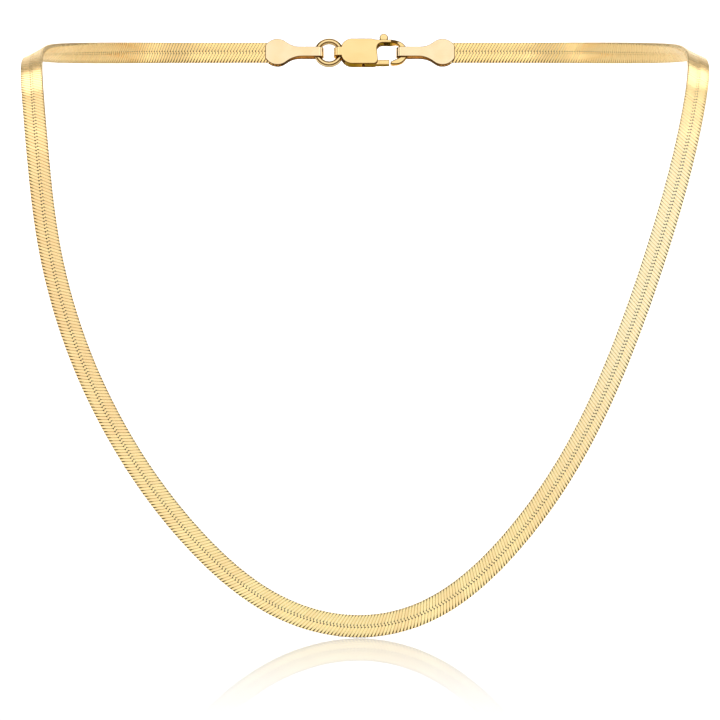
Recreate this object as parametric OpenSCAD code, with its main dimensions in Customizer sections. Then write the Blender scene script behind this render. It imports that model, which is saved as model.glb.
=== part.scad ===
// Herringbone neck chain, worn form: a flat woven band that hangs in a U in front,
// rolls back over the shoulders and runs round the nape to its clasp.
// The origin is where the clasp's inner face lies on the nape. +X is right as seen
// from the front, +Y points backwards and +Z points up. Sizes are in millimetres.

/* [Chain] */
// Length of the whole necklace, round the loop and through the closed clasp
necklace_length = 457.2; // [445:0.1:520]
// Width of the band
chain_w = 4; // [3.6:0.1:4.2]
// Thickness of the band
chain_t = 0.9; // [0.7:0.05:1]
// Depth of the groove along the middle of each face
groove_depth = 0.08; // [0.02:0.01:0.15]
// Width of that groove
groove_w = 0.4; // [0.2:0.05:0.8]
// Rings of points on each stretch between two rows of the loop's table
rings_per_row = 8; // [6:1:10]

/* [End caps] */
// Distance between the free ends of the two caps, with the clasp closed
clasp_span = 36.2; // [36:0.1:36.4]
// Length of a cap, from its free end to the outside of its fold
cap_length = 11.2; // [11:0.1:11.3]
// Width across the paddle
paddle_w = 5.2; // [4.9:0.1:5.6]
// Width of the neck
neck_w = 1.96; // [1.6:0.02:2]
// Radius of the hollow flank between paddle and neck
flank_r = 4.5; // [3.5:0.1:5]
// Thickness of the folded sheet
cap_sheet = 0.3; // [0.25:0.01:0.35]
// Clear gap between the two sheets at the fold
fold_gap = 1.5; // [1.45:0.01:1.6]
// How far the band reaches into a cap
chain_grip = 3; // [2:0.1:3.4]
// Clear gap between the band and each sheet
grip_gap = 0.05; // [0.03:0.01:0.08]

/* [Jump ring] */
// Outside diameter
ring_od = 5.71; // [5.6:0.01:5.8]
// Wire diameter
ring_wire = 1.15; // [1:0.01:1.2]
// Place of its centre along the clasp
ring_x = -5.92; // [-5.94:0.01:-5.9]

/* [Clasp] */
// Height of the clasp's body
clasp_h = 5.04; // [4.9:0.02:5.1]
// Thickness of the body, front face to back face
clasp_t = 2.6; // [2.5:0.05:2.8]
// Thickness of each side plate
plate_t = 0.45; // [0.35:0.01:0.5]
// Thickness of the hook where a loop hangs in it
hook_t = 1.1; // [1:0.02:1.16]
// Thickness of the hook at its tip
tip_t = 1.5; // [1.1:0.02:1.6]
// Outside radius of the hook
hook_r = 2.38; // [2.3:0.01:2.4]
// Height of the arm that carries the hook
arm_h = 0.63; // [0.55:0.01:0.7]
// Height of the eyelet's tongue
tongue_h = 1.8; // [1.6:0.05:1.85]
// Diameter of the hinge pin
pin_d = 0.8; // [0.6:0.02:0.9]
// Lean of the clasp, ring and caps at the nape, their inner faces turned up
nape_lean = 14; // [0:1:15]

/* [Lever] */
// Thickness of the lever
lever_t = 1.4; // [1.2:0.02:1.4]
// Height of the gate that closes the hook
gate_h = 0.91; // [0.8:0.01:0.95]
// Gap between the gate's end and the hook's tip
gate_gap = 0.2; // [0.15:0.01:0.3]
// Diameter of the thumb piece
thumb_d = 1.64; // [1.6:0.02:1.9]
// Running clearance between pin and bore, all round
pin_clearance = 0.05; // [0.03:0.01:0.08]

/* [Hidden] */
$fn = 48;

// The loop's table: rows from the middle of the nape to the lowest point in front.
// Each row pulls the smooth centre line. Depth is behind the front stretch, height is
// above the lowest point, sway is how far the row's middle lies to the right, and the
// last three columns point out of the band's outer face on the right-hand side.
REACH = 0;
SWAY = 1;
DEPTH = 2;
HEIGHT = 3;
FACE_SIDE = 4;
FACE_BACK = 5;
FACE_UP = 6;
lean_back = cos(nape_lean);
lean_up = -sin(nape_lean);
loop_rows = [
    [0,     0,    71,   105.3, 0,    lean_back, lean_up],
    [18,    0,    71,   105.3, 0,    lean_back, lean_up],
    [36,    0,    71,   105.3, 0.3,  lean_back, lean_up],
    [50.5,  0.1,  54.9, 104.2, 0.8,  0.55, 0.25],
    [57.8,  0.4,  37.5, 103,   0.75, 0.15, 0.6],
    [59.8,  0.8,  20,   102,   0.35, -0.2, 0.9],
    [59.2,  1,    6,    97.5,  0.1,  -0.8, 0.6],
    [56.9,  0.3,  0,    83,    0,    -1,   0],
    [53.6,  -1.3, 0,    65.8,  0,    -1,   0],
    [48,    -1.9, 0,    48,    0,    -1,   0],
    [40.15, -1.5, 0,    31.2,  0,    -1,   0],
    [29.9,  -1.1, 0,    16.4,  0,    -1,   0],
    [16.15, -0.6, 0,    3,     0,    -1,   0],
    [0,     0,    0,    -1.6,  0,    -1,   0],
];
last_row = len(loop_rows) - 1;
row_count = 2 * last_row;
nape = [0, loop_rows[0][DEPTH], loop_rows[0][HEIGHT]];

// Row i of the closed loop: down the left side, then up the right side
function row_of(i) = loop_rows[i <= last_row ? i : row_count - i];
function side_of(i) = i <= last_row ? -1 : 1;
function place_of(i) = let (r = row_of(i))
    [r[SWAY] + side_of(i) * r[REACH], r[DEPTH], r[HEIGHT]] - nape;
function face_of(i) = let (r = row_of(i)) [side_of(i) * r[FACE_SIDE], r[FACE_BACK], r[FACE_UP]];
places = [for (i = [0:row_count - 1]) place_of(i)];
faces_out = [for (i = [0:row_count - 1]) face_of(i)];

// Cubic spline through the pull of four rows, and its slope
function pull(u) = [
    pow(1 - u, 3),
    3 * pow(u, 3) - 6 * pow(u, 2) + 4,
    -3 * pow(u, 3) + 3 * pow(u, 2) + 3 * u + 1,
    pow(u, 3)
] / 6;
function pull_slope(u) = [
    -pow(1 - u, 2),
    3 * pow(u, 2) - 4 * u,
    -3 * pow(u, 2) + 2 * u + 1,
    pow(u, 2)
] / 2;
function four(list, i) = [for (k = [-1:2]) list[(i + k + row_count) % row_count]];
function blend(list, t) = pull(t - floor(t)) * four(list, floor(t));
function slope(list, t) = pull_slope(t - floor(t)) * four(list, floor(t));
function unit(v) = v / norm(v);

// The loop is scaled to the necklace's length
function total(list, i = 0) = i == len(list) ? 0 : list[i] + total(list, i + 1);
loop_steps = row_count * rings_per_row;
drawn = [for (k = [0:loop_steps]) blend(places, (k % loop_steps) / rings_per_row)];
drawn_length = total([for (k = [0:loop_steps - 1]) norm(drawn[k + 1] - drawn[k])]);
loop_scale = necklace_length / drawn_length;

// The band ends inside the caps, on the straight stretch at the nape
band_end_x = clasp_span / 2 - chain_grip;
band_start = band_end_x / (loop_rows[1][REACH] * loop_scale);
band_stop = row_count - band_start;
band_rings = ceil((band_stop - band_start) * rings_per_row);

// Half of the band's cross-section: across the band, out of its face
bevel_w = 0.16;
shoulder_w = 0.42;
bevel_share = 0.72;
half_section = [
    [-chain_w / 2, 0],
    [-chain_w / 2 + bevel_w, chain_t / 2 * bevel_share],
    [-chain_w / 2 + shoulder_w, chain_t / 2],
    [-groove_w / 2, chain_t / 2],
    [0, chain_t / 2 - groove_depth],
    [groove_w / 2, chain_t / 2],
    [chain_w / 2 - shoulder_w, chain_t / 2],
    [chain_w / 2 - bevel_w, chain_t / 2 * bevel_share]
];
section = concat(half_section, [for (p = half_section) -p]);

// One ring of points round the centre line
function ring_at(t) =
    let (
        middle = blend(places, t) * loop_scale + [0, clasp_t / 2, 0],
        along = unit(slope(places, t)),
        hint = blend(faces_out, t),
        face = unit(hint - (hint * along) * along),
        edge = cross(along, face)
    )
    [for (p = section) middle + p[0] * edge + p[1] * face];

// Closed skin over a list of rings
module skin(rings) {
    n = len(rings[0]);
    last = len(rings) - 1;
    corners = [for (ring = rings) each ring];
    sides = [
        for (i = [0:last - 1], j = [0:n - 1])
            let (a = i * n + j, b = i * n + (j + 1) % n)
                each [[a, a + n, b], [b, a + n, b + n]]
    ];
    first_end = [for (j = [1:n - 2]) [0, j, j + 1]];
    last_end = [for (j = [1:n - 2]) [last * n, last * n + j + 1, last * n + j]];
    polyhedron(points = corners, faces = concat(sides, first_end, last_end), convexity = 10);
}

// Points of an arc in the plane, from one angle to another
function arc(centre, r, from, to, steps = 12) = [
    for (k = [0:steps])
        let (a = from + (to - from) * k / steps) centre + r * [cos(a), sin(a)]
];

// An outline seen from the front made as thick as said, and one seen from below made
// as high as said, both about the middle of the clasp
module from_front(thickness) {
    translate([0, clasp_t / 2, 0]) rotate([90, 0, 0])
        linear_extrude(height = thickness, center = true) children();
}
module from_below(height) {
    translate([0, clasp_t / 2, 0]) linear_extrude(height = height, center = true) children();
}

// What hangs at the nape leans about the middle of the band
module at_nape() {
    translate([0, clasp_t / 2, 0]) rotate([-nape_lean, 0, 0]) translate([0, -clasp_t / 2, 0])
        children();
}

// End cap: a sheet folded in two, its paddle holding the band between its halves
paddle_r = paddle_w / 2;
paddle_x = 0.9 * paddle_r;
flank_z = neck_w / 2 + flank_r;
flank_x = paddle_x + sqrt(pow(paddle_r + flank_r, 2) - pow(flank_z, 2));
flank_angle = atan2(flank_z, flank_x - paddle_x);
paddle_cut = acos(-paddle_x / paddle_r);
fold_r = fold_gap / 2 + cap_sheet;
paddle_gap = chain_t + 2 * grip_gap;
spread_from = 4.6;
spread_to = 7.4;

module cap_front_outline() {
    upper = concat(
        arc([flank_x, flank_z], flank_r, -90, flank_angle - 180),
        arc([paddle_x, 0], paddle_r, flank_angle, paddle_cut)
    );
    lower = [for (k = [len(upper) - 1:-1:0]) [upper[k][0], -upper[k][1]]];
    polygon(concat([[cap_length, neck_w / 2]], upper, lower, [[cap_length, -neck_w / 2]]));
}

module cap_side_outline(inset) {
    paddle_y = paddle_gap / 2 + cap_sheet - inset;
    neck_y = fold_r - inset;
    upper = [[-inset, paddle_y], [spread_from, paddle_y], [spread_to, neck_y]];
    lower = [for (k = [2:-1:0]) [upper[k][0], -upper[k][1]]];
    polygon(concat(upper, arc([cap_length - fold_r, 0], neck_y, 90, -90, 24), lower));
}

module end_cap() {
    intersection() {
        from_front(3 * fold_r) cap_front_outline();
        difference() {
            from_below(paddle_w + 1) cap_side_outline(0);
            from_below(paddle_w + 2) cap_side_outline(cap_sheet);
        }
    }
}

// Clasp body: two plates joined by a fold at the eyelet, by walls along the left end's
// top and bottom, and by the arm that carries the hook.
// Each row of the outline's table is a bend: its centre, its radius and the angles that
// it runs between. Straight edges run from bend to bend.
BEND_X = 0;
BEND_Z = 1;
BEND_R = 2;
BEND_FROM = 3;
BEND_TO = 4;
body_z = clasp_h / 2;
arm_step = 0.22;
arm_z = body_z - arm_step;
window_z = arm_z - arm_h;
hook_x = 6.72;
hook_z = arm_z - hook_r;
left_x = -3.55;
left_r = 2.2;
left_bend_x = -1.5;
left_angle = acos((left_bend_x - left_x) / left_r);
window_x = 3.43;
corner_r = 0.9;
step_r = 0.8;
tip_r = 0.34;
tip_x = 5.78 + tip_r;
tip_z = hook_z - hook_r + tip_r;
inner_r = 1.07;
inner_x = 7.65;
heel_r = 0.45;
heel_z = -0.72;
throat_r = 1.07;
throat_x = 4.3;
clasp_bends = [
    [left_bend_x, body_z - left_r, left_r, 180 - left_angle, 90],
    [2.1, body_z - step_r, step_r, 90, 75],
    [3.2, arm_z + step_r, step_r, 255, 270],
    [hook_x, hook_z, hook_r, 90, -90],
    [tip_x, tip_z, tip_r, 270, 118],
    [inner_x - heel_r, heel_z, heel_r, -62, 0],
    [inner_x - inner_r, window_z - inner_r, inner_r, 0, 90],
    [throat_x, window_z - throat_r, throat_r, 90, 180],
    [window_x - corner_r, -body_z + corner_r, corner_r, 0, -90],
    [left_bend_x, left_r - body_z, left_r, 270, 180 + left_angle]
];
walls_from = -2.9;
top_wall_to = -0.2;
bottom_wall_to = 0.45;
slot_to = 5.6;
thick_to = 5.9;
thin_from = 7.4;
tip_from = 7;
tip_below = -1.1;
tongue_x = -5;
tongue_r = 1.1;
pin_x = 1.3;
pin_z = -1.7;

module clasp_outline() {
    tongue = [
        [left_x, -tongue_h / 2],
        [tongue_x - 1, -tongue_h / 2],
        [tongue_x - 1, tongue_h / 2],
        [left_x, tongue_h / 2]
    ];
    bends = [
        for (b = clasp_bends)
            each arc([b[BEND_X], b[BEND_Z]], b[BEND_R], b[BEND_FROM], b[BEND_TO], 16)
    ];
    polygon(concat(bends, tongue));
}

// The clasp seen from below, its left end rounded for the eyelet's fold
module clasp_side(inset) {
    r = tongue_r - inset;
    half_t = clasp_t / 2 - inset;
    bend_x = tongue_x + tongue_r;
    right_x = hook_x + hook_r + 1;
    polygon(concat(
        [[right_x, half_t]],
        arc([bend_x, half_t - r], r, 90, 180),
        arc([bend_x, r - half_t], r, 180, 270),
        [[right_x, -half_t]]
    ));
}

// The hook seen from below: its full thickness first, thinner where a loop hangs
module hook_side(full_t, thin_x) {
    right_x = hook_x + hook_r + 1;
    polygon([
        [slot_to - 0.1, full_t / 2],
        [thick_to, full_t / 2],
        [thin_x, hook_t / 2],
        [right_x, hook_t / 2],
        [right_x, -hook_t / 2],
        [thin_x, -hook_t / 2],
        [thick_to, -full_t / 2],
        [slot_to - 0.1, -full_t / 2]
    ]);
}

// Inside of the top and bottom walls, seen from the front
module inside_walls() {
    r = left_r - plate_t;
    bend_z = body_z - left_r;
    polygon(concat(
        arc([left_bend_x, -bend_z], r, 270, 180),
        arc([left_bend_x, bend_z], r, 180, 90),
        [[bottom_wall_to + 0.1, bend_z + r], [bottom_wall_to + 0.1, -bend_z - r]]
    ));
}

// Space between the plates, seen from the front
module clasp_hollow() {
    translate([-2 * clasp_h, -clasp_h]) square([2 * clasp_h + walls_from, 2 * clasp_h]);
    intersection() {
        inside_walls();
        translate([walls_from - 0.1, -clasp_h]) square([2 * clasp_h, 2 * clasp_h]);
    }
    translate([top_wall_to, 0]) square([slot_to - top_wall_to, clasp_h]);
    translate([bottom_wall_to, -clasp_h]) square([slot_to - bottom_wall_to, 2 * clasp_h]);
}

module hinge_pin(r) {
    translate([pin_x, 2 * clasp_t, pin_z]) rotate([90, 0, 0]) cylinder(r = r, h = 4 * clasp_t);
}

module clasp_body() {
    color("goldenrod") at_nape() difference() {
        intersection() {
            from_front(clasp_t) clasp_outline();
            from_below(2 * clasp_h) clasp_side(0);
            union() {
                translate([slot_to - 4 * clasp_h, -clasp_t, -2 * clasp_h])
                    cube([4 * clasp_h, 4 * clasp_t, 4 * clasp_h]);
                translate([0, 0, clasp_h / 2 + 1])
                    from_below(clasp_h) hook_side(clasp_t, thin_from);
                translate([0, 0, tip_below - clasp_h / 2])
                    from_below(clasp_h) hook_side(tip_t, tip_from);
                from_below(2 * clasp_h) hook_side(hook_t, thin_from);
            }
        }
        difference() {
            intersection() {
                from_front(clasp_t) clasp_hollow();
                from_below(2 * clasp_h) clasp_side(plate_t);
            }
            hinge_pin(pin_d / 2);
        }
    }
}

// Lever: a gate and a thumb piece on one plate that turns on the body's pin
gate_end = tip_x - tip_r - gate_gap;
boss_r = 0.78;
upright_w = 0.8;
strip_z = window_z + 0.05;
strip_h = 0.5;
thumb_x = 4.55;
thumb_z = 2.86;

module clasp_lever() {
    color("gold") at_nape() difference() {
        from_front(lever_t) {
            translate([pin_x, pin_z]) circle(boss_r);
            translate([pin_x, -body_z + 0.02]) square([gate_end - pin_x, gate_h]);
            translate([pin_x - upright_w / 2, pin_z]) square([upright_w, strip_z + strip_h - pin_z]);
            translate([pin_x - upright_w / 2, strip_z])
                square([thumb_x - pin_x + upright_w / 2, strip_h]);
            translate([thumb_x, thumb_z]) circle(thumb_d / 2);
        }
        hinge_pin(pin_d / 2 + pin_clearance);
    }
}

module end_cap_left() {
    color("khaki") at_nape() translate([-clasp_span / 2, 0, 0]) end_cap();
}

module end_cap_right() {
    color("khaki") at_nape() translate([clasp_span / 2, 0, 0]) mirror([1, 0, 0]) end_cap();
}

module jump_ring() {
    color("gold") at_nape() translate([ring_x, clasp_t / 2, 0]) rotate([90, 0, 0])
        rotate_extrude() translate([(ring_od - ring_wire) / 2, 0]) circle(ring_wire / 2);
}

module chain() {
    color("khaki") skin([
        for (k = [0:band_rings])
            ring_at(band_start + (band_stop - band_start) * k / band_rings)
    ]);
}

chain();
end_cap_left();
end_cap_right();
jump_ring();
clasp_body();
clasp_lever();
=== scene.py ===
import math

import bmesh
import bpy
import numpy as np
from mathutils import Matrix, Vector


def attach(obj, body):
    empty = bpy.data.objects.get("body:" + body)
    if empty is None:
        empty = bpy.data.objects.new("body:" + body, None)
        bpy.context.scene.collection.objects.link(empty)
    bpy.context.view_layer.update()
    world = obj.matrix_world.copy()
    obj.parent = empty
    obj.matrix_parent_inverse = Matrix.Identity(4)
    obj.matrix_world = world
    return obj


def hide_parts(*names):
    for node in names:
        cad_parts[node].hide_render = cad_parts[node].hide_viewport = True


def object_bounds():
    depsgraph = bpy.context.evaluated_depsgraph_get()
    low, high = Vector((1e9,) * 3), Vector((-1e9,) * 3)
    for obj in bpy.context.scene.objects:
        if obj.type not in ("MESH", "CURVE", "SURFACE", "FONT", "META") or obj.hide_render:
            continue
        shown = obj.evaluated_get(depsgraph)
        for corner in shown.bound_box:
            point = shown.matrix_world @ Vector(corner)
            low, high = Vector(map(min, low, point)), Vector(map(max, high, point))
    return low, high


# Herringbone neck chain, held at the nape. Sizes are in millimetres until placed() turns
# them into metres, except in materials, where noise and bumps on finished pieces are in
# metres. The frame is the model's: +X right, +Y backwards, +Z up.

mm = 0.001
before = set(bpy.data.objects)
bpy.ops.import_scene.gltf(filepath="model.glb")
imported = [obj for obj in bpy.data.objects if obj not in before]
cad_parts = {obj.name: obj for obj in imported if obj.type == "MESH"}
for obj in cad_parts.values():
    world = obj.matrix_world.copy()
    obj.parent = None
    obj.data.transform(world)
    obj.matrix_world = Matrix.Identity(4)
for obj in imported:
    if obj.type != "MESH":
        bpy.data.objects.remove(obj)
bpy.context.view_layer.update()
print("frame loaded")


# Small helpers for edit mode

def only(piece):
    bpy.ops.object.select_all(action="DESELECT")
    piece.select_set(True)
    bpy.context.view_layer.objects.active = piece


def named(name):
    # The primitive that was just added gets its own name
    piece = bpy.context.object
    piece.name = name
    piece.data.name = name
    return piece


def editStart(piece, mode="FACE"):
    only(piece)
    bpy.ops.object.mode_set(mode="EDIT")
    bpy.ops.mesh.select_mode(type=mode)


def editEnd():
    bpy.ops.object.mode_set(mode="OBJECT")


def select(piece, kind, test):
    # Selects the faces, edges or verts of the piece in edit mode that pass the test
    bpy.ops.mesh.select_all(action="DESELECT")
    mesh = bmesh.from_edit_mesh(piece.data)
    for item in getattr(mesh, kind):
        if test(item):
            item.select_set(True)
    mesh.select_flush_mode()
    bmesh.update_edit_mesh(piece.data)


def middle(item):
    # Middle of an edge or a face
    return sum((v.co for v in item.verts), Vector()) / len(item.verts)


weld, fineWeld = 0.001, 0.0005


def cleaned(piece, distance=weld):
    # Doubles merged and all normals turned outwards
    editStart(piece)
    bpy.ops.mesh.select_all(action="SELECT")
    bpy.ops.mesh.remove_doubles(threshold=distance)
    bpy.ops.mesh.normals_make_consistent(inside=False)
    editEnd()


def modified(piece, kind, **settings):
    only(piece)
    added = piece.modifiers.new(kind.title(), kind)
    for key, value in settings.items():
        setattr(added, key, value)
    bpy.ops.object.modifier_apply(modifier=added.name)


def lofted(name, rings):
    # A face with the first ring's points, which grown() extrudes from ring to ring
    bpy.ops.object.select_all(action="DESELECT")
    bpy.ops.mesh.primitive_circle_add(
        vertices=len(rings[0]), radius=1, fill_type="NGON", location=(0, 0, 0))
    piece = named(name)
    for vertex, place in zip(piece.data.vertices, rings[0]):
        vertex.co = place
    return piece


def grown(piece, rings):
    # Extrudes the piece, point by point, from each ring to the next
    editStart(piece)
    bpy.ops.mesh.select_all(action="SELECT")
    for before, after in zip(rings, rings[1:]):
        bpy.ops.mesh.extrude_region_move()
        mesh = bmesh.from_edit_mesh(piece.data)
        for vertex in [v for v in mesh.verts if v.select]:
            nearest = min(range(len(before)), key=lambda k: (vertex.co - before[k]).length)
            vertex.co = after[nearest]
        bmesh.update_edit_mesh(piece.data)
    editEnd()


def joined(name, parts):
    bpy.ops.object.select_all(action="DESELECT")
    for part in parts:
        part.select_set(True)
    bpy.context.view_layer.objects.active = parts[0]
    bpy.ops.object.join()
    return named(name)


def smoothed(piece, degrees, weighted=False):
    only(piece)
    bpy.ops.object.shade_smooth_by_angle(angle=math.radians(degrees))
    if weighted:
        modified(piece, "WEIGHTED_NORMAL", weight=60, keep_sharp=True)


def turned(piece, front=0, back=0, bend=(0, 0), edgeTilt=0.3):
    # "turn" is 0 where the piece faces front or back and 1 where it faces sideways, up or
    # down. It stays 0 round a sheet's bend between two places along X, apart from the
    # sheet's edges, which tilt up or down. "inside" is how far in from the nearer of its
    # two faces a corner lies.
    # These set where the polished finishes paint their edge reflections and side shade
    mesh = piece.data
    normals, places = np.zeros(len(mesh.loops) * 3), np.zeros(len(mesh.vertices) * 3)
    corners = np.zeros(len(mesh.loops), int)
    mesh.corner_normals.foreach_get("vector", normals)
    mesh.vertices.foreach_get("co", places)
    mesh.loops.foreach_get("vertex_index", corners)
    normals, places = normals.reshape(-1, 3), places.reshape(-1, 3)[corners]
    turn = np.degrees(np.arccos(np.clip(np.abs(normals[:, 1]), 0, 1))) / 90
    bent = (places[:, 0] > bend[0]) & (places[:, 0] < bend[1])
    bent = bent & (np.abs(normals[:, 2]) < edgeTilt)
    inside = np.clip(np.minimum(places[:, 1] - front, back - places[:, 1]), 0, None)
    for name, values in (("turn", np.where(bent, 0, turn)), ("inside", inside)):
        kept = mesh.attributes.new(name, "FLOAT", "CORNER")
        kept.data.foreach_set("value", values.astype(np.float32))


def placed(piece, node, body, material, leans=False):
    # From millimetres to metres, then the piece takes its place on the model
    piece.data.transform(piece.matrix_world)
    piece.matrix_world = Matrix.Identity(4)
    if leans:
        piece.data.transform(leaning)
    piece.data.transform(Matrix.Scale(mm, 4))
    piece.data.materials.clear()
    piece.data.materials.append(material)
    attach(piece, body)
    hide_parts(node)
    print(piece.name, len(piece.data.polygons), "faces")


# The clasp, ring and caps hang at the nape, upright on X and Z while they are modelled,
# then lean about the middle of the band

nape = {"lean": 14, "thickness": 2.6}
lean = math.radians(nape["lean"])
napeAxis = Matrix.Translation((0, nape["thickness"] / 2, 0))
leaning = napeAxis @ Matrix.Rotation(-lean, 4, "X") @ napeAxis.inverted()


# Shader sums are written as Python

class Wire:
    def __init__(self, shader, socket):
        self.shader = shader
        self.socket = socket

    def maths(self, operation, other, swapped=False):
        pair = {0: other, 1: self} if swapped else {0: self, 1: other}
        return self.shader.node("ShaderNodeMath", {"operation": operation}, pair)

    def __add__(self, other):
        return self.maths("ADD", other)

    def __sub__(self, other):
        return self.maths("SUBTRACT", other)

    def __rsub__(self, other):
        return self.maths("SUBTRACT", other, True)

    def __mul__(self, other):
        return self.maths("MULTIPLY", other)

    def __gt__(self, other):
        return self.maths("GREATER_THAN", other)

    def __lt__(self, other):
        return self.maths("LESS_THAN", other)

    __radd__ = __add__
    __rmul__ = __mul__

    def distance(self, other):
        return self.shader.node("ShaderNodeMath", {"operation": "ABSOLUTE"}, {0: self - other})

    def ramp(self, low, high, start=0, end=1):
        # 0 below low, 1 above high and smooth between, or any other start and end
        settings = {"interpolation_type": "SMOOTHSTEP", "clamp": True}
        places = {"Value": self, "From Min": low, "From Max": high, "To Min": start, "To Max": end}
        return self.shader.node("ShaderNodeMapRange", settings, places)


class Finish:
    def __init__(self, name):
        self.material = bpy.data.materials.new(name)
        self.material.use_nodes = True
        self.tree = self.material.node_tree
        self.surface = self.tree.nodes["Principled BSDF"]

    def node(self, kind, settings=None, inputs=None, output=0):
        made = self.tree.nodes.new(kind)
        for key, value in (settings or {}).items():
            if key == "stops":
                self.fillRamp(made.color_ramp.elements, value)
            else:
                setattr(made, key, value)
        for key, value in (inputs or {}).items():
            self.feed(made.inputs[key], value)
        return Wire(self, made.outputs[output])

    def fillRamp(self, elements, stops):
        # A new ramp has two stops: one goes, the other takes the first place
        elements.remove(elements[1])
        elements[0].position, elements[0].color = stops[0][0], (*stops[0][1], 1)
        for place, colour in stops[1:]:
            elements.new(place).color = (*colour, 1)

    def feed(self, socket, value):
        if isinstance(value, Wire):
            self.tree.links.new(value.socket, socket)
        elif isinstance(value, (tuple, list)) and len(value) == 3 and socket.type == "RGBA":
            socket.default_value = (*value, 1)
        else:
            socket.default_value = value

    def blend(self, share, first, second, how="MIX"):
        # Colours are mixed by the node's own colour sockets: share, first, second, result
        made = self.tree.nodes.new("ShaderNodeMix")
        made.data_type = "RGBA"
        made.blend_type = how
        self.feed(made.inputs[0], share)
        self.feed(made.inputs[6], first)
        self.feed(made.inputs[7], second)
        return Wire(self, made.outputs[2])

    def noise(self, place, scale, detail):
        sizes = {"Vector": place, "Scale": scale, "Detail": detail}
        return self.node("ShaderNodeTexNoise", None, sizes)

    def bump(self, height, strength, distance):
        sizes = {"Height": height, "Strength": strength, "Distance": distance}
        return self.node("ShaderNodeBump", None, sizes)

    def set(self, **values):
        for key, value in values.items():
            self.feed(self.surface.inputs[key.replace("_", " ")], value)
        return self.material


# The loop that the band follows, as the model's source has it. Columns: reach to the side,
# sway to the right, depth behind the front, height above the lowest point, and the way
# out of the outer face (side, back, up). Rows run from the nape to the lowest point.

loop = {
    "length": 457.2,
    "bandEnd": 15.1,            # the band's ends, along the loop from the middle of the nape
    "measureSteps": 8,          # steps from row to row when the model measures its length,
    "fineSteps": 400,           # and when the band is laid on it
    "rows": [
        (0, 0, 71, 105.3, 0, math.cos(lean), -math.sin(lean)),
        (18, 0, 71, 105.3, 0, math.cos(lean), -math.sin(lean)),
        (36, 0, 71, 105.3, 0.3, math.cos(lean), -math.sin(lean)),
        (50.5, 0.1, 54.9, 104.2, 0.8, 0.55, 0.25),
        (57.8, 0.4, 37.5, 103, 0.75, 0.15, 0.6),
        (59.8, 0.8, 20, 102, 0.35, -0.2, 0.9),
        (59.2, 1, 6, 97.5, 0.1, -0.8, 0.6),
        (56.9, 0.3, 0, 83, 0, -1, 0),
        (53.6, -1.3, 0, 65.8, 0, -1, 0),
        (48, -1.9, 0, 48, 0, -1, 0),
        (40.15, -1.5, 0, 31.2, 0, -1, 0),
        (29.9, -1.1, 0, 16.4, 0, -1, 0),
        (16.15, -0.6, 0, 3, 0, -1, 0),
        (0, 0, 0, -1.6, 0, -1, 0),
    ],
}


def loopPulls():
    # The rows as they pull the closed spline: down the left side, then up the right
    rows = np.array(loop["rows"], float)
    count = 2 * (len(rows) - 1)
    order = [i if i < len(rows) else count - i for i in range(count)]
    side = np.where(np.arange(count) < len(rows), -1, 1)[:, None]
    reach, sway, depth, height = (rows[order, k:k + 1] for k in range(4))
    origin = np.array([0, rows[0, 2], rows[0, 3]])
    places = np.hstack([sway + side * reach, depth, height]) - origin
    outs = np.hstack([side * rows[order, 4:5], rows[order, 5:7]])
    return places, outs


def along(pulls, t, slope=False):
    # A point of the cubic spline, or its slope, at each t
    i = np.floor(t).astype(int)
    u = (t - i)[:, None]
    if slope:
        shares = (
            -(1 - u) ** 2 / 2,
            (3 * u ** 2 - 4 * u) / 2,
            (-3 * u ** 2 + 2 * u + 1) / 2,
            u ** 2 / 2,
        )
    else:
        shares = (
            (1 - u) ** 3 / 6,
            (3 * u ** 3 - 6 * u ** 2 + 4) / 6,
            (-3 * u ** 3 + 3 * u ** 2 + 3 * u + 1) / 6,
            u ** 3 / 6,
        )
    return sum(s * pulls[(i + k - 1) % len(pulls)] for k, s in enumerate(shares))


def unit(vectors):
    return vectors / np.linalg.norm(vectors, axis=1)[:, None]


places, outs = loopPulls()
loopSteps = np.linspace(0, len(places), loop["measureSteps"] * len(places) + 1)
drawn = np.linalg.norm(np.diff(along(places, loopSteps), axis=0), axis=1).sum()
loopScale = loop["length"] / drawn
fineSteps = np.linspace(0, len(places), loop["fineSteps"] * len(places) + 1)
fineLine = along(places, fineSteps) * loopScale
travelled = np.append(0, np.cumsum(np.linalg.norm(np.diff(fineLine, axis=0), axis=1)))
bandLength = travelled[-1] - 2 * loop["bandEnd"]


def ontoLoop(flat):
    # Flat band: x along it, y into its back, z towards its inner edge
    t = np.interp(flat[:, 0] + loop["bandEnd"], travelled, fineSteps)
    centre = along(places, t) * loopScale + np.array([0, nape["thickness"] / 2, 0])
    ahead = unit(along(places, t, slope=True))
    hint = along(outs, t)
    face = unit(hint - np.sum(hint * ahead, axis=1)[:, None] * ahead)
    edge = np.cross(ahead, face)
    return centre - flat[:, 1:2] * face - flat[:, 2:3] * edge


# Materials

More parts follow.
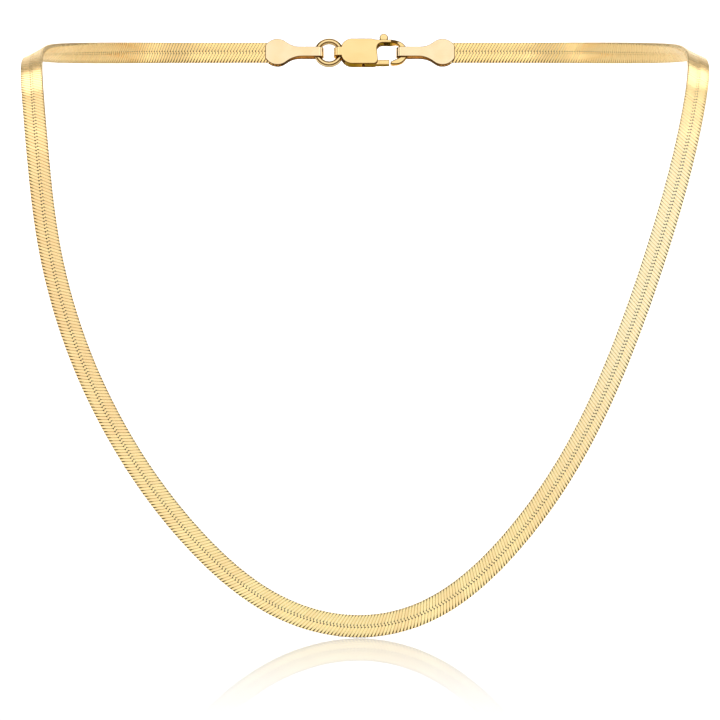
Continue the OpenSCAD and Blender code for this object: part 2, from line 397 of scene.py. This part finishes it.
def polishedGold(name, face, shade, turns):
    # The face's tone, multiplied by painted reflections and shade: dark and pale bands over the
    # rounded edges, and painted shade on the sides
    gold = {
        "grazing": (0.95, 0.74, 0.42),
        "roughness": 0.12,
        "scratchRoughness": 0.07,   # added where the scratches are strongest
        "ripple": 240,              # scale of the noise
        "rippleDetail": 3,
        "rippleTone": (0.4, 0.66),  # the face turns to its shade over this part of it
        "scratches": 1600,
        "scratchDetail": 2,
        "rippleShare": 0.7,         # of the bump's height, with scratchShare
        "scratchShare": 0.3,
        "bump": 0.1,
        "bumpDepth": 0.00003,
        # The sides get painted shade, darkest near the faces and amber further in
        "sideTurn": (0.8, 0.95),    # the sides' tone takes over from the edges' here,
        "insideFrom": 0.001,        # but only between the two faces
        "sides": [
            (0.2, (0.13, 0.08, 0.03)),
            (0.42, (0.75, 0.5, 0.22)),
            (1, (0.9, 0.67, 0.37)),
        ],
    }
    finish = Finish(name)
    place = finish.node("ShaderNodeTexCoord", output="Object")
    turn = finish.node("ShaderNodeAttribute", {"attribute_name": "turn"}, output="Fac")
    inside = finish.node("ShaderNodeAttribute", {"attribute_name": "inside"}, output="Fac")
    cloud = finish.noise(place, gold["ripple"], gold["rippleDetail"])
    fine = finish.noise(place, gold["scratches"], gold["scratchDetail"])
    flatTone = finish.blend(cloud.ramp(*gold["rippleTone"]), face, shade)
    # Painted reflections over the rounded edges, by how far a corner turns from the front, and
    # painted shade on the sides
    edges = finish.node("ShaderNodeValToRGB", {"stops": turns}, {"Fac": turn})
    sides = finish.node("ShaderNodeValToRGB", {"stops": gold["sides"]}, {"Fac": inside})
    sideways = turn.ramp(*gold["sideTurn"]) * (inside > gold["insideFrom"])
    paintedShading = finish.blend(sideways, edges, sides)
    height = cloud * gold["rippleShare"] + fine * gold["scratchShare"]
    return finish.set(
        Base_Color=finish.blend(1.0, flatTone, paintedShading, "MULTIPLY"),
        Metallic=1.0,
        Specular_Tint=gold["grazing"],
        Roughness=gold["roughness"] + gold["scratchRoughness"] * fine,
        Normal=finish.bump(height, gold["bump"], gold["bumpDepth"]),
    )


def wovenGold():
    gold = {
        "crown": (0.99, 0.82, 0.405),
        "warm": (0.93, 0.66, 0.32),
        "nape": (0.9, 0.63, 0.26),
        "paintedSheen": (0.99, 0.85, 0.52),
        # seam and notch are painted shade: in the grooves between the links, and darker in the
        # notches
        "seam": (0.78, 0.52, 0.08),
        "notch": (0.09, 0.04, 0.0),
        "grazing": (1.0, 0.98, 0.9),
        "roughness": 0.22,
        "toneRoughness": 0.08,
        "seamRoughness": 0.35,
        "seamMetal": 0.15,
        "seamDepth": (0.03, 0.32),  # where the seam starts, from a link's top to its foot
        # Painted light and shade lengthwise, in millimetres from the band's middle, at the loop's
        # lowest point
        "sides": (20, 80),          # the lowest stretch is paler than the sides
        "behind": (115, 150),       # the stretch behind the shoulders is deeper
        "sheenFrom": (30, 82),      # the right side has a pale sheen below the shoulder,
        "sheenTo": (122, 98),       # which ends again on the way up
        # Across the band, from its middle: the painted shade in the seams darkens to the notch
        # colour at the kinks and the edges
        "middleDark": (0.45, 0.34),
        "edgeDark": (1.2, 1.6),
        "drift": 0.12,              # slow change along the band
        "driftDetail": 1,
        "driftTone": (0.42, 0.62),
        "driftShare": 0.25,         # how far each of these turns the crown to warm
        "toneShare": 0.3,
        "sideShare": 0.6,
        "napeShare": 0.7,
        "brush": (26, 26, 3),       # brushed lines across the band
        "brushDetail": 2,
        "bump": 0.15,
        "bumpDepth": 0.00002,
    }
    finish = Finish("wovenGold")
    flat = finish.node("ShaderNodeAttribute", {"attribute_name": "flatPlace"}, output="Vector")
    groove = finish.node("ShaderNodeAttribute", {"attribute_name": "groove"}, output="Fac")
    tone = finish.node("ShaderNodeAttribute", {"attribute_name": "linkTone"}, output="Fac")
    drift = finish.noise(flat, gold["drift"], gold["driftDetail"])
    stretched = finish.node(
        "ShaderNodeVectorMath", {"operation": "MULTIPLY"}, {0: flat, 1: gold["brush"]})
    brushed = finish.noise(stretched, scale=1, detail=gold["brushDetail"])

    lengthwise = finish.node("ShaderNodeSeparateXYZ", None, {0: flat}, "X")
    fromLowest = lengthwise.distance(bandLength / 2)
    side = fromLowest.ramp(*gold["sides"])
    behind = fromLowest.ramp(*gold["behind"])
    pastLowest = lengthwise - bandLength / 2
    paintedSheen = pastLowest.ramp(*gold["sheenFrom"]) * pastLowest.ramp(*gold["sheenTo"])
    # The crowns: random drift and link tones, painted light paler on the lowest stretch, painted
    # shade behind the shoulders and a painted sheen on the right side
    drifted = drift.ramp(*gold["driftTone"]) * gold["driftShare"]
    warmth = drifted + tone * gold["toneShare"] + side * gold["sideShare"]
    crown = finish.blend(warmth, gold["crown"], gold["warm"])
    crown = finish.blend(behind * gold["napeShare"], crown, gold["nape"])
    crown = finish.blend(paintedSheen, crown, gold["paintedSheen"])

    # Painted shade in the grooves: the seam colour, darkened to the notch colour behind the
    # shoulders, at the kinks and at the edges, on less metal so that it stays brown
    depth = groove.ramp(*gold["seamDepth"])
    across = finish.node("ShaderNodeSeparateXYZ", None, {0: flat}, "Z").distance(0)
    dark = across.ramp(*gold["middleDark"]) + across.ramp(*gold["edgeDark"])
    gap = finish.blend(behind, gold["seam"], gold["notch"])
    gap = finish.blend(dark, gap, gold["notch"])
    rough = gold["roughness"] + gold["toneRoughness"] * tone + gold["seamRoughness"] * depth
    return finish.set(
        Base_Color=finish.blend(depth, crown, gap),
        Metallic=depth.ramp(0, 1, 1, gold["seamMetal"]),
        Specular_IOR_Level=0.0,
        Specular_Tint=gold["grazing"],
        Roughness=rough,
        Normal=finish.bump(brushed, gold["bump"], gold["bumpDepth"]),
    )


def paleFloor():
    floor = {
        "light": (0.95, 0.95, 0.95),
        "dim": (0.93, 0.93, 0.93),
        "cloud": 30,
        "cloudDetail": 2,
        "gloss": (-0.3, -0.08),     # in metres behind the nape: dull in front, glossy below
        "glossBend": 1.06,
        "roughness": 0.9,
    }
    finish = Finish("paleFloor")
    place = finish.node("ShaderNodeTexCoord", output="Object")
    cloud = finish.noise(place, floor["cloud"], floor["cloudDetail"])
    back = finish.node("ShaderNodeSeparateXYZ", None, {0: place}, "Y")
    return finish.set(
        Base_Color=finish.blend(cloud, floor["light"], floor["dim"]),
        Roughness=floor["roughness"],
        Specular_IOR_Level=0.0,
        Coat_Weight=back.ramp(*floor["gloss"]),
        Coat_IOR=floor["glossBend"],
        Coat_Roughness=0.0,
    )


# Painted reflections as the tone turns from front to side: the dark and pale bands over a rounded
# edge, and round the ring's wire
paintedEdgeBands = [
    (0.12, (1, 1, 1)),
    (0.22, (0.15, 0.1, 0.04)),
    (0.75, (0.15, 0.1, 0.04)),
    (0.95, (0.4, 0.25, 0.1)),
]
paintedWireBands = [
    (0.12, (1, 1, 1)),
    (0.24, (0.16, 0.1, 0.04)),
    (0.42, (0.16, 0.1, 0.04)),
    (0.55, (1, 1, 1)),
    (0.72, (1, 1, 1)),
    (0.85, (0.1, 0.06, 0.02)),
    (1, (0.3, 0.2, 0.08)),
]
capGold = polishedGold("capGold", (0.80, 0.62, 0.385), (0.77, 0.585, 0.34), paintedEdgeBands)
claspGold = polishedGold("claspGold", (0.80, 0.58, 0.27), (0.77, 0.545, 0.24), paintedEdgeBands)
ringGold = polishedGold("ringGold", (0.80, 0.60, 0.30), (0.77, 0.56, 0.26), paintedWireBands)
woven = wovenGold()
print("finishes made")


# The band: one link is modelled flat, repeated, closed at both ends and laid on the loop

band = {
    "width": 4.0,
    "thickness": 0.9,
    "pitch": 0.6,
    "steps": 3,                 # links that a strand passes on its way from edge to edge
    "edgeRound": 0.16,          # how far in from the edge the link starts to turn over
    # Half widths of a link are shares of the pitch. Each edge has the half width there and
    # how far in from it the notch reaches, each kink its place across and its half width.
    "outer": (0.24, 0.85),
    "inner": (0.22, 0.42),
    "kinks": ((-0.2, 0.19), (0.15, 0.28)),
    "kinkReach": 0.13,          # how far a kink is drawn out to both sides
    "top": 0.425,               # half width of the flat top between notch and kink
    "closed": 0.445,            # half width between the two kinks
    "foot": 0.5,                # half width at a link's foot
    "jogBack": 0.2,             # how far the links step back along the band at the kinks
    "wire": 0.3,                # depth of a link's strand
    "edgeWire": 0.08,           # the same where it turns over the edge
    "sag": 0.03,                # how far the face dips at the kinks
    "lean": 0.014,              # one side of a link's top lies this much lower
    "seed": 7,                  # for the links' tones
    "samePlace": 1e-5,
    "weld": 1e-4,
}


def faceRings(near, far):
    # Rings across one face: place across, place out of the face, way out, half width of
    # the top and depth
    halfW, halfT = band["width"] / 2, band["thickness"] / 2
    top, reach, dip = band["top"], band["kinkReach"], -halfT + band["sag"]
    (low, lowTop), (high, highTop) = band["kinks"]

    def edge(side, tip, notch):
        # From the edge's middle up on to the face, where the notch closes
        rings = []
        for degrees in (0, 45, 90):
            a = math.radians(degrees)
            fromEdge = band["edgeRound"] * (1 - math.cos(a))
            depth = band["edgeWire"] + (band["wire"] - band["edgeWire"]) * fromEdge / notch
            width = tip + (top - tip) * fromEdge / notch
            turnedBy = degrees if side < 0 else 180 - degrees
            rings.append((side * (halfW - fromEdge), -halfT * math.sin(a), turnedBy, width, depth))
        return rings + [(side * (halfW - notch), -halfT, 90, top, band["wire"])]

    middleRings = [
        (low - reach, -halfT, top),
        (low, dip, lowTop),
        (low + reach, dip, band["closed"]),
        (high - reach, dip, band["closed"]),
        (high, dip, highTop),
        (high + reach, -halfT, top),
    ]
    return (edge(-1, *near) + [(z, y, 90, width, band["wire"]) for z, y, width in middleRings]
            + edge(1, *far)[:0:-1])


def linkRings():
    # Rings along one strand, right round the band, with their step along the band
    (low, _), (high, _) = band["kinks"]
    slope = (band["steps"] * band["pitch"] + band["jogBack"]) / (band["width"] - high + low)
    half = band["steps"] * band["pitch"]

    def step(z):
        past = min(max((z - low) / (high - low), 0), 1)
        return (z + band["width"] / 2) * slope - past * (band["jogBack"] + slope * (high - low))

    front = [(z, y, degrees, step(z), *rest)
             for z, y, degrees, *rest in faceRings(band["outer"], band["inner"])]
    back = [(-z, -y, degrees + 180, step(z) + half, *rest)
            for z, y, degrees, *rest in faceRings(band["inner"], band["outer"])]
    z, y, _, _, width, depth = front[0]
    return front + back + [(z, y, 360, 2 * half, width, depth)]


def ringPoints(ring):
    # The strand's four corners on one ring: foot, top, top, foot
    z, y, degrees, step, width, depth = ring
    a = math.radians(degrees)
    out = Vector((0, -math.sin(a), -math.cos(a)))
    middlePoint = Vector((step, y, z))
    corners = ((-band["foot"], depth), (-width, band["lean"]), (width, 0), (band["foot"], depth))
    return [middlePoint + Vector((w * band["pitch"], 0, 0)) - out * d for w, d in corners]


def herringboneBand():
    rings = [ringPoints(ring) for ring in linkRings()]
    link = lofted("herringboneBand", rings)
    groove = link.data.attributes.new("groove", "FLOAT", "POINT")
    groove.data.foreach_set("value", (1, 0, 0, 1))
    grown(link, rings)
    editStart(link)
    ends = (rings[0], rings[-1])
    select(link, "faces", lambda f: any(all(
        min((v.co - p).length for p in end) < band["samePlace"] for v in f.verts)
        for end in ends))
    bpy.ops.mesh.delete(type="FACE")
    bpy.ops.mesh.select_all(action="SELECT")
    bpy.ops.mesh.normals_make_consistent(inside=False)
    editEnd()

    # Repeated along the band, past both ends by a full turn of the strand
    turn = 2 * band["steps"]
    count = math.ceil(bandLength / band["pitch"]) + 2 * turn
    size = len(link.data.vertices)
    modified(
        link, "ARRAY", count=count, use_relative_offset=False,
        use_constant_offset=True, constant_offset_displace=(band["pitch"], 0, 0),
    )
    tones = np.random.default_rng(band["seed"]).random(count).repeat(size)
    tone = link.data.attributes.new("linkTone", "FLOAT", "POINT")
    tone.data.foreach_set("value", tones.astype(np.float32))
    link.data.transform(Matrix.Translation((-turn * band["pitch"], 0, 0)))
    editStart(link, "VERT")
    bpy.ops.mesh.select_all(action="SELECT")
    bpy.ops.mesh.remove_doubles(threshold=band["weld"])
    for end, way in ((0, -1), (bandLength, 1)):
        bpy.ops.mesh.select_all(action="SELECT")
        bpy.ops.mesh.bisect(
            plane_co=(end, 0, 0), plane_no=(way, 0, 0), clear_outer=True, use_fill=True)
    editEnd()

    flat = np.zeros(len(link.data.vertices) * 3)
    link.data.vertices.foreach_get("co", flat)
    kept = link.data.attributes.new("flatPlace", "FLOAT_VECTOR", "POINT")
    kept.data.foreach_set("vector", flat.astype(np.float32))
    laid = ontoLoop(flat.reshape(-1, 3))
    link.data.vertices.foreach_set("co", laid.ravel())
    link.data.update()
    smoothed(link, degrees=40)
    return link


print("band", round(bandLength, 2), "mm, links", math.ceil(bandLength / band["pitch"]))
placed(herringboneBand(), "chain", "necklace", woven)


# End caps: a strip grown from the free end round the fold and back, then given its sheet

cap = {
    "span": 36.2,               # from one cap's free end to the other's
    "length": 11.2,
    "paddle": 5.2,
    "paddleCut": 0.9,           # radii from the paddle's middle to its straight free end
    "neck": 1.96,
    "flank": 4.5,               # radius from the paddle to the neck
    "sheet": 0.3,
    "foldGap": 1.5,
    "paddleGap": 1.0,
    "spreadFrom": 4.6,          # the gap grows from the paddles to the fold between these
    "spreadTo": 7.4,
    "rounding": 0.14,
    "paddleSteps": 12,
    "flankSteps": 8,
    "neckSteps": 4,
    "foldSteps": 16,
    "bendFrom": 0.02,           # the bend's tone starts so far past the fold's start
    "bendPast": 1,              # and ends outside the fold
}


def capStations():
    # Stations along the front sheet: place along the cap, half width and half thickness
    paddleR, flankR = cap["paddle"] / 2, cap["flank"]
    paddleX, flankZ = cap["paddleCut"] * paddleR, cap["neck"] / 2 + flankR
    reach = math.sqrt((paddleR + flankR) ** 2 - flankZ ** 2)
    meet = math.atan2(flankZ, reach)
    cut = math.acos(-paddleX / paddleR)
    outline = []
    for k in range(cap["paddleSteps"] + 1):
        a = cut + (meet - cut) * k / cap["paddleSteps"]
        outline.append((paddleX + paddleR * math.cos(a), paddleR * math.sin(a)))
    for k in range(1, cap["flankSteps"] + 1):
        a = meet + math.pi + (math.pi / 2 - meet) * k / cap["flankSteps"]
        outline.append((paddleX + reach + flankR * math.cos(a), flankZ + flankR * math.sin(a)))
    foldR = cap["foldGap"] / 2 + cap["sheet"]
    neckX = outline[-1][0]
    neckLength = cap["length"] - foldR - neckX
    for k in range(1, cap["neckSteps"] + 1):
        outline.append((neckX + neckLength * k / cap["neckSteps"], cap["neck"] / 2))
    thin = cap["paddleGap"] / 2 + cap["sheet"]
    stations = []
    for x, halfWidth in outline:
        share = (x - cap["spreadFrom"]) / (cap["spreadTo"] - cap["spreadFrom"])
        share = min(max(share, 0), 1)
        share = share * share * (3 - 2 * share)
        stations.append((x, halfWidth, thin + (foldR - thin) * share))
    return stations, foldR


def growTo(piece, x, y, halfWidth):
    # Extrudes the selected edge to a new station
    now = middle(chosenEdge(piece))
    move = (x - now.x, y - now.y, 0)
    bpy.ops.mesh.extrude_region_move(TRANSFORM_OT_translate={"value": move})
    ends = chosenEdge(piece).verts
    half = abs(ends[0].co.z - ends[1].co.z) / 2
    bpy.ops.transform.resize(value=(1, 1, halfWidth / half), center_override=(x, y, 0))


def chosenEdge(piece):
    return [e for e in bmesh.from_edit_mesh(piece.data).edges if e.select][0]


def endCap(name, side):
    stations, foldR = capStations()
    x, halfWidth, halfT = stations[0]
    step = stations[1][0] - x
    bpy.ops.object.select_all(action="DESELECT")
    bpy.ops.mesh.primitive_plane_add(
        size=1, location=(x + step / 2, -halfT, 0), rotation=(math.pi / 2, 0, 0))
    piece = named(name)
    bpy.ops.transform.resize(value=(step, 1, 2 * halfWidth))
    bpy.ops.object.transform_apply()
    editStart(piece, "EDGE")
    select(piece, "edges", lambda e: all(v.co.x > x + step / 2 for v in e.verts))
    bpy.ops.transform.resize(
        value=(1, 1, stations[1][1] / halfWidth), center_override=(x + step, 0, 0))
    for place, width, thick in stations[2:]:
        growTo(piece, place, -thick, width)
    foldX = cap["length"] - foldR
    bpy.ops.mesh.spin(
        steps=cap["foldSteps"], angle=math.pi, center=(foldX, 0, 0), axis=(0, 0, -1))
    for place, width, thick in stations[-2::-1]:
        growTo(piece, place, thick, width)
    editEnd()
    cleaned(piece, fineWeld)
    modified(piece, "SOLIDIFY", thickness=cap["sheet"], offset=-1, use_even_offset=True)
    modified(
        piece, "BEVEL", width=cap["rounding"], segments=3,
        limit_method="ANGLE", angle_limit=math.radians(50))
    seat = Matrix.Translation((side * cap["span"] / 2, nape["thickness"] / 2, 0))
    piece.data.transform(seat @ Matrix.Scale(-side, 4, (1, 0, 0)))
    cleaned(piece, fineWeld)
    smoothed(piece, degrees=35, weighted=True)
    bend = (foldX + cap["bendFrom"], cap["length"] + cap["bendPast"])
    turned(piece, bend=sorted(side * (cap["span"] / 2 - place) for place in bend))
    return piece


for name, side, node in (("endCapLeft", -1, "end_cap_left"), ("endCapRight", 1, "end_cap_right")):
    placed(endCap(name, side), node, "necklace", capGold, leans=True)


# Jump ring: a wire spun round its eye

ring = {"outside": 5.71, "wire": 1.15, "x": -5.92, "wireSides": 24, "steps": 96}


def jumpRing():
    reach = (ring["outside"] - ring["wire"]) / 2
    centreY = nape["thickness"] / 2
    bpy.ops.object.select_all(action="DESELECT")
    bpy.ops.mesh.primitive_circle_add(
        vertices=ring["wireSides"], radius=ring["wire"] / 2,
        location=(ring["x"] + reach, centreY, 0))
    piece = named("jumpRing")
    bpy.ops.object.transform_apply()
    editStart(piece, "EDGE")
    bpy.ops.mesh.select_all(action="SELECT")
    bpy.ops.mesh.spin(
        steps=ring["steps"], angle=2 * math.pi, center=(ring["x"], centreY, 0), axis=(0, 1, 0))
    editEnd()
    cleaned(piece)
    smoothed(piece, degrees=60)
    turned(piece)
    return piece


placed(jumpRing(), "jump_ring", "necklace", ringGold, leans=True)


# Clasp body: the plates are the model's solid with its edges rounded, and the hook is
# grown round its bend. Columns of the hook: outer point, inner point and thickness.

clasp = {
    "rounding": 0.16,
    "hookRounding": 0.25,
    "sharpFrom": 40,            # degrees between two faces from which their edge is rounded
    "tongueBend": (-6, -3.7),
    "hookFrom": 5.75,           # the plates are cut here and the hook starts
    "hook": [
        ((5.75, 2.3), (5.75, 1.67), 2.6),
        ((5.95, 2.3), (5.92, 1.67), 2.6),
        ((6.35, 2.3), (6.25, 1.67), 2.15),
        ((6.75, 2.3), (6.6, 1.67), 1.72),
        ((7.336, 2.219), (6.946, 1.605), 1.3),
        ((7.91, 1.981), (7.337, 1.357), 1.1),
        ((8.403, 1.603), (7.572, 1.0), 1.1),
        ((8.781, 1.11), (7.65, 0.6), 1.1),
        ((9.019, 0.536), (7.65, 0.2), 1.1),
        ((9.1, -0.08), (7.65, -0.2), 1.1),
        ((9.019, -0.696), (7.65, -0.6), 1.1),
        ((8.781, -1.27), (7.623, -0.874), 1.1),
        ((8.403, -1.763), (7.534, -1.021), 1.1),
        ((7.91, -2.141), (7.3, -1.171), 1.1),
        ((7.336, -2.379), (6.95, -1.34), 1.12),
        ((6.72, -2.46), (6.5, -1.558), 1.25),
        ((6.3, -2.46), (6.17, -1.718), 1.38),
        ((6.03, -2.44), (5.97, -1.83), 1.4),
        ((5.87, -2.35), (5.84, -1.93), 1.2),
        ((5.8, -2.24), (5.79, -2.04), 0.8),
    ],
    "roundFrom": 1.5,           # the section is boxy up to this row and round from roundTo on
    "roundTo": 6.5,
    "rowSteps": 3,
    "cornerSteps": 5,
    "roundLimit": 0.49,         # the most that a corner takes of the section's smaller side
}


def solidCopy(node, name):
    # A copy of a model's solid, upright and in millimetres, its flat triangles merged
    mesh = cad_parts[node].data.copy()
    piece = bpy.data.objects.new(name, mesh)
    bpy.context.scene.collection.objects.link(piece)
    mesh.name = name
    mesh.transform(leaning.inverted() @ Matrix.Scale(1 / mm, 4))
    only(piece)
    bpy.ops.mesh.customdata_custom_splitnormals_clear()
    cleaned(piece)
    editStart(piece)
    bpy.ops.mesh.select_all(action="SELECT")
    bpy.ops.mesh.dissolve_limited(angle_limit=math.radians(1))
    editEnd()
    return piece


def hookRing(row, index):
    # A rounded rectangle across the hook's bend
    (outerX, outerZ), (innerX, innerZ), thick = row
    outer, inner = Vector((outerX, 0, outerZ)), Vector((innerX, 0, innerZ))
    width = (outer - inner).length
    across = (outer - inner) / width
    centre = (outer + inner) / 2 + Vector((0, nape["thickness"] / 2, 0))
    share = (index - clasp["roundFrom"]) / (clasp["roundTo"] - clasp["roundFrom"])
    share = min(max(share, 0), 1)
    radius = clasp["rounding"] + share * (clasp["hookRounding"] - clasp["rounding"])
    radius = min(radius, clasp["roundLimit"] * min(width, thick))
    points = []
    for quarter, (a, b) in enumerate(((1, 1), (-1, 1), (-1, -1), (1, -1))):
        for k in range(clasp["cornerSteps"] + 1):
            turn = math.radians(90 * (quarter + k / clasp["cornerSteps"]))
            w = a * (width / 2 - radius) + radius * math.cos(turn)
            t = b * (thick / 2 - radius) + radius * math.sin(turn)
            points.append(centre + across * w + Vector((0, t, 0)))
    return points


def smoothRows(rows, steps):
    # A Catmull-Rom line through the rows, with so many steps from one to the next
    padded = np.vstack([2 * rows[0] - rows[1], rows, 2 * rows[-1] - rows[-2]])
    line = []
    for k in range(len(rows) - 1):
        a, b, c, d = padded[k:k + 4]
        for u in np.arange(steps) / steps:
            line.append(0.5 * (2 * b + (c - a) * u + (2 * a - 5 * b + 4 * c - d) * u ** 2
                               + (3 * b - a - 3 * c + d) * u ** 3))
    return line + [rows[-1]]


def claspHook():
    table = np.array([[*outer, *inner, thick] for outer, inner, thick in clasp["hook"]])
    steps = clasp["rowSteps"]
    rows = [(row[:2], row[2:4], row[4]) for row in smoothRows(table, steps)]
    rings = [hookRing(row, k / steps) for k, row in enumerate(rows)]
    piece = lofted("claspHook", rings)
    grown(piece, rings)
    cleaned(piece, fineWeld)
    return piece


def edgesRounded(piece, width, cutX):
    # Bevels the sharp edges, except those of the cut
    mesh = bmesh.new()
    mesh.from_mesh(piece.data)
    weights = []
    for edge in mesh.edges:
        sharp = edge.is_manifold and edge.calc_face_angle() > math.radians(clasp["sharpFrom"])
        atCut = all(v.co.x > cutX - weld for v in edge.verts)
        weights.append(1.0 if sharp and not atCut else 0.0)
    mesh.free()
    weight = piece.data.attributes.new("bevel_weight_edge", "FLOAT", "EDGE")
    weight.data.foreach_set("value", weights)
    modified(
        piece, "BEVEL", width=width, segments=3,
        limit_method="WEIGHT", use_clamp_overlap=False)


def claspBody():
    plates = solidCopy("clasp_body", "claspPlates")
    editStart(plates)
    bpy.ops.mesh.select_all(action="SELECT")
    bpy.ops.mesh.bisect(
        plane_co=(clasp["hookFrom"], 0, 0), plane_no=(1, 0, 0), clear_outer=True, use_fill=True)
    editEnd()
    edgesRounded(plates, clasp["rounding"], clasp["hookFrom"])
    piece = joined("claspBody", [plates, claspHook()])
    smoothed(piece, degrees=40, weighted=True)
    turned(piece, front=0, back=nape["thickness"], bend=clasp["tongueBend"])
    return piece


placed(claspBody(), "clasp_body", "necklace", claspGold, leans=True)


# Lever: gate with its bare panel, boss on the pin, upright, strip and thumb piece. Blocks
# are given from and to along X, then from and to along Z, and places as X and Z.

lever = {
    "thickness": 1.4,
    "pin": (1.3, -1.7),
    "bossRadius": 0.78,
    "gate": (1.3, 5.58, -2.5, -1.59),
    "gateRounding": 0.03,
    "panelFrom": 3.5,
    "panelRim": 0.13,
    "panelDepth": 0.06,
    "facing": 0.9,              # how squarely the gate's front looks forwards, at least
    "upright": (0.9, 1.7, -1.7, 1.9),
    "strip": (0.9, 4.55, 1.72, 2.22),
    "thumb": (4.55, 2.86),
    "thumbRadius": 0.82,
    "thumbRounding": 0.22,
    "rounding": 0.08,
    "sides": 48,
}


def leverBlock(name, box, finished=True):
    fromX, toX, fromZ, toZ = box
    centre = ((fromX + toX) / 2, nape["thickness"] / 2, (fromZ + toZ) / 2)
    bpy.ops.object.select_all(action="DESELECT")
    bpy.ops.mesh.primitive_cube_add(size=1, location=centre)
    piece = named(name)
    bpy.ops.transform.resize(value=(toX - fromX, lever["thickness"], toZ - fromZ))
    bpy.ops.object.transform_apply()
    if finished:
        modified(piece, "BEVEL", width=lever["rounding"], segments=3)
    return piece


def leverRound(name, place, radius, rounding):
    bpy.ops.object.select_all(action="DESELECT")
    bpy.ops.mesh.primitive_cylinder_add(
        vertices=lever["sides"], radius=radius, depth=lever["thickness"],
        location=(place[0], nape["thickness"] / 2, place[1]), rotation=(math.pi / 2, 0, 0))
    piece = named(name)
    bpy.ops.object.transform_apply()
    modified(
        piece, "BEVEL", width=rounding, segments=6,
        limit_method="ANGLE", angle_limit=math.radians(40))
    return piece


def leverGate():
    gate = leverBlock("leverGate", lever["gate"], finished=False)
    panelX = lever["panelFrom"]
    editStart(gate)
    bpy.ops.mesh.select_all(action="SELECT")
    bpy.ops.mesh.bisect(plane_co=(panelX, 0, 0), plane_no=(1, 0, 0))
    select(gate, "faces", lambda f: f.normal.y < -lever["facing"] and middle(f).x > panelX)
    bpy.ops.mesh.inset(thickness=lever["panelRim"])
    sink = (0, lever["panelDepth"], 0)
    bpy.ops.mesh.extrude_region_move(TRANSFORM_OT_translate={"value": sink})
    editEnd()
    modified(
        gate, "BEVEL", width=lever["gateRounding"], segments=2,
        limit_method="ANGLE", angle_limit=math.radians(40))
    return gate


def claspLever():
    parts = [
        leverGate(),
        leverRound("leverBoss", lever["pin"], lever["bossRadius"], lever["rounding"]),
        leverBlock("leverUpright", lever["upright"]),
        leverBlock("leverStrip", lever["strip"]),
        leverRound("leverThumb", lever["thumb"], lever["thumbRadius"], lever["thumbRounding"]),
    ]
    piece = joined("claspLever", parts)
    smoothed(piece, degrees=40, weighted=True)
    total, own = nape["thickness"], lever["thickness"]
    turned(piece, front=(total - own) / 2, back=(total + own) / 2)
    return piece


placed(claspLever(), "clasp_lever", "lever", claspGold, leans=True)


# Stage: a pale sweep, soft light and the camera

stage = {
    "gap": 0.06,                # between the floor and the lowest link
    "front": -2600,
    "back": 1700,
    "half": 2600,
    "rise": 1800,
    "curve": 500,
    "curveSteps": 24,
    "near": 1,                  # how close to a place an edge still counts as there
}


def paleSweep(floorZ):
    front, back, near = stage["front"], stage["back"], stage["near"]
    bpy.ops.object.select_all(action="DESELECT")
    bpy.ops.mesh.primitive_plane_add(size=1, location=(0, (back + front) / 2, floorZ))
    sweep = named("paleSweep")
    bpy.ops.transform.resize(value=(2 * stage["half"], back - front, 1))
    bpy.ops.object.transform_apply()
    editStart(sweep, "EDGE")
    select(sweep, "edges", lambda e: all(v.co.y > back - near for v in e.verts))
    bpy.ops.mesh.extrude_region_move(TRANSFORM_OT_translate={"value": (0, 0, stage["rise"])})
    select(sweep, "edges", lambda e: all(
        v.co.y > back - near and v.co.z < floorZ + near for v in e.verts))
    bpy.ops.mesh.bevel(offset=stage["curve"], segments=stage["curveSteps"], profile=0.5)
    editEnd()
    sweep.data.transform(Matrix.Scale(mm, 4))
    sweep.data.materials.append(paleFloor())
    smoothed(sweep, degrees=60, weighted=True)


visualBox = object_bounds()
paleSweep(visualBox[0].z / mm - stage["gap"])

camera = {
    "distance": 800,
    "frontPlane": -69.7,        # the front of the loop, where the picture is frameWidth wide
    "height": -58.66,
    "frameWidth": 126.3,
    "sensor": 36,
    "clipFrom": 0.01,           # in metres
}


def frontCamera():
    lens = camera["sensor"] * camera["distance"] / camera["frameWidth"]
    bpy.ops.object.select_all(action="DESELECT")
    bpy.ops.object.camera_add(
        location=(0, (camera["frontPlane"] - camera["distance"]) * mm, camera["height"] * mm),
        rotation=(math.pi / 2, 0, 0))
    view = bpy.context.object
    view.data.sensor_width = camera["sensor"]
    view.data.lens = lens
    view.data.clip_start = camera["clipFrom"]
    bpy.context.scene.camera = view


lights = {
    # name: place, aim, width, height, watts
    "frontBox": ((0, -1400, 150), (0, -30, -50), 1200, 1150, 3.7),
    "upperBox": ((0, -800, 920), (0, -30, -50), 1500, 1000, 4.8),
    "topBox": ((0, 150, 1000), (0, 200, -100), 1200, 800, 6.2),
    "leftBox": ((-946, -739, 200), (0, -30, -50), 1200, 1150, 3.1),
    "rightBox": ((946, -739, 200), (0, -30, -50), 1200, 1150, 3.2),
    "leftWing": ((-1190, 180, 150), (0, -30, -50), 1200, 1000, 3.1),
    "rightWing": ((1190, 180, 150), (0, -30, -50), 1200, 1000, 3.2),
    "backBox": ((0, 1000, 420), (0, 1700, 150), 2600, 500, 11),
}
worldStrength = 0.3


def softLight():
    for name, (place, aim, width, height, watts) in lights.items():
        bpy.ops.object.light_add(type="AREA", location=[c * mm for c in place])
        light = bpy.context.object
        light.name = name
        light.data.shape = "RECTANGLE"
        light.data.size = width * mm
        light.data.size_y = height * mm
        light.data.energy = watts
        way = Vector(aim) - Vector(place)
        light.rotation_euler = way.to_track_quat("-Z", "Y").to_euler()
        light.visible_camera = False
    world = bpy.data.worlds.new("softWorld")
    bpy.context.scene.world = world
    world.use_nodes = True
    background = world.node_tree.nodes["Background"]
    background.inputs["Color"].default_value = (1, 1, 1, 1)
    background.inputs["Strength"].default_value = worldStrength
    bpy.context.scene.view_settings.view_transform = "Standard"


frontCamera()
softLight()
print("stage set")
